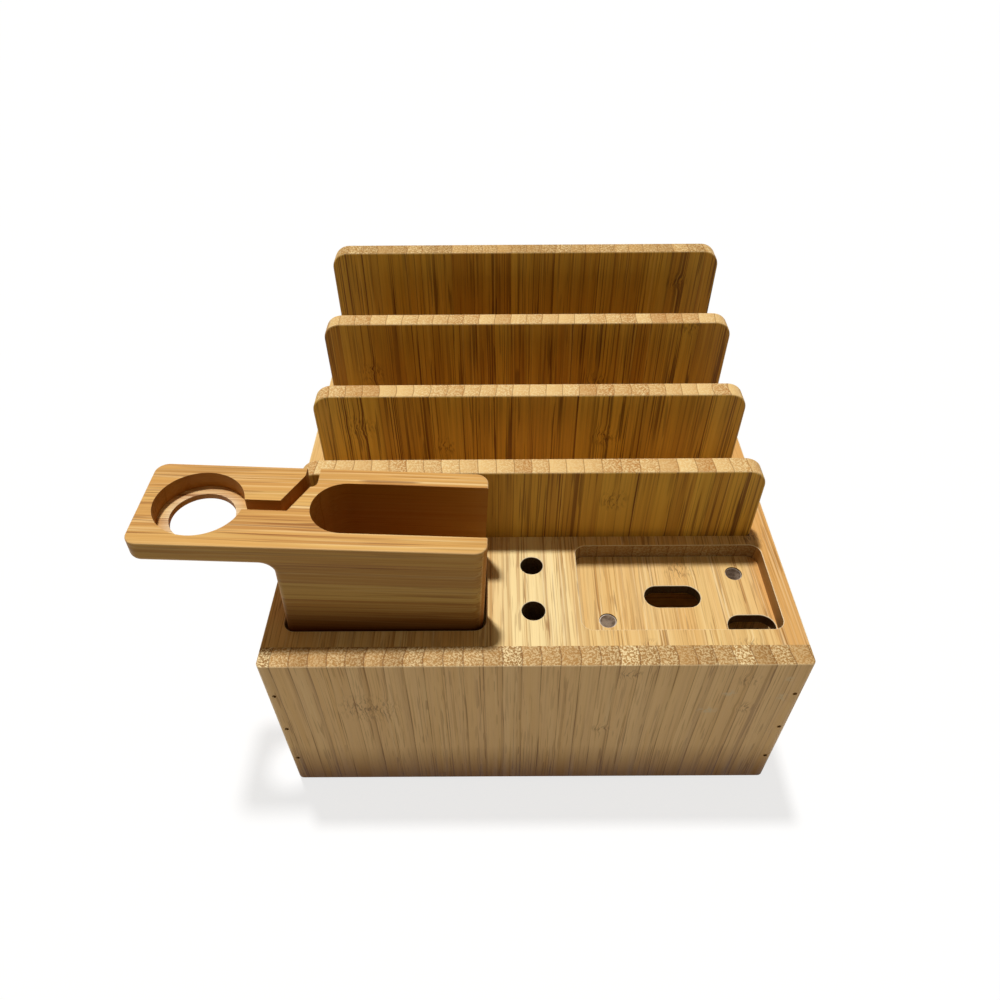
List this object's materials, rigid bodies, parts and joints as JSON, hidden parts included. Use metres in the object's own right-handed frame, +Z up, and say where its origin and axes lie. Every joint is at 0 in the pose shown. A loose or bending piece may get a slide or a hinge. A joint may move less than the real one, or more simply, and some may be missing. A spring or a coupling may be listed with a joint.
{
  "type": "charging station organizer",
  "caption": "Hollow bamboo box with upright dividers, cable slots, pen holes and docks on top, a lift-off watch and earbud stand, and a charger inside.",
  "frame": {"origin": "centre of the box's footprint, on the surface that its feet rest on", "axes": "+Z up, +Y from the front panel to the back, +X to the right seen from the front"},
  "size_m": [0.2494, 0.212, 0.1593],
  "materials": {
    "bamboo_panels": "oiled, vertical strips",
    "bamboo_top": "oiled, strips front to back",
    "bamboo_dividers": "oiled, vertical strips",
    "bamboo_stand": "oiled, strips along the arm",
    "base_board": "sanded",
    "block_softwood": "sawn",
    "magnet_nickel": "nickel plated",
    "nail_steel": "oxidised",
    "screw_steel": "zinc plated",
    "foot_rubber": "matt",
    "case_plastic": "fine moulded grain",
    "plate_plastic": "smooth",
    "port_metal": "nickel plated",
    "port_plastic": "moulded",
    "board_laminate": "lacquered",
    "transformer_tape": "wound tape",
    "capacitor_sleeve": "shrunk sleeve",
    "inlet_plastic": "moulded",
    "pin_brass": "bright"
  },
  "bodies": {
    "box": {"front_panel": "bamboo_panels", "back_panel": "bamboo_panels", "left_side_panel": "bamboo_panels", "right_side_panel": "bamboo_panels", "top_board": "bamboo_top", "base_panel": "base_board", "divider_1": "bamboo_dividers", "divider_2": "bamboo_dividers", "divider_3": "bamboo_dividers", "divider_4": "bamboo_dividers", "corner_block_1": "block_softwood", "corner_block_2": "block_softwood", "corner_block_3": "block_softwood", "corner_block_4": "block_softwood", "front_panel_nails": "nail_steel", "back_panel_nails": "nail_steel", "base_screws": "screw_steel", "rubber_feet": "foot_rubber", "left_dock_magnets": "magnet_nickel", "right_dock_magnets": "magnet_nickel"},
    "stand": {"stand_body": "bamboo_stand", "stand_magnets": "magnet_nickel"},
    "charger": {"charger_lower_shell": "case_plastic", "charger_upper_shell": "case_plastic", "charger_port_plate": "plate_plastic", "usb_port_shells": "port_metal", "usb_port_tongues": "port_plastic", "charger_circuit_board": "board_laminate", "charger_transformer": "transformer_tape", "charger_capacitors": "capacitor_sleeve", "charger_inlet": "inlet_plastic", "charger_inlet_pins": "pin_brass", "charger_feet": "foot_rubber"}
  },
  "joints": [
    {"name": "stand_lift", "type": "slide", "parent": "box", "child": "stand", "axis": [0, 0, 1], "range_m": [0, 0.08]},
    {"name": "charger_slide", "type": "slide", "parent": "box", "child": "charger", "axis": [0, 1, 0], "range_m": [0, 0.08]}
  ]
}
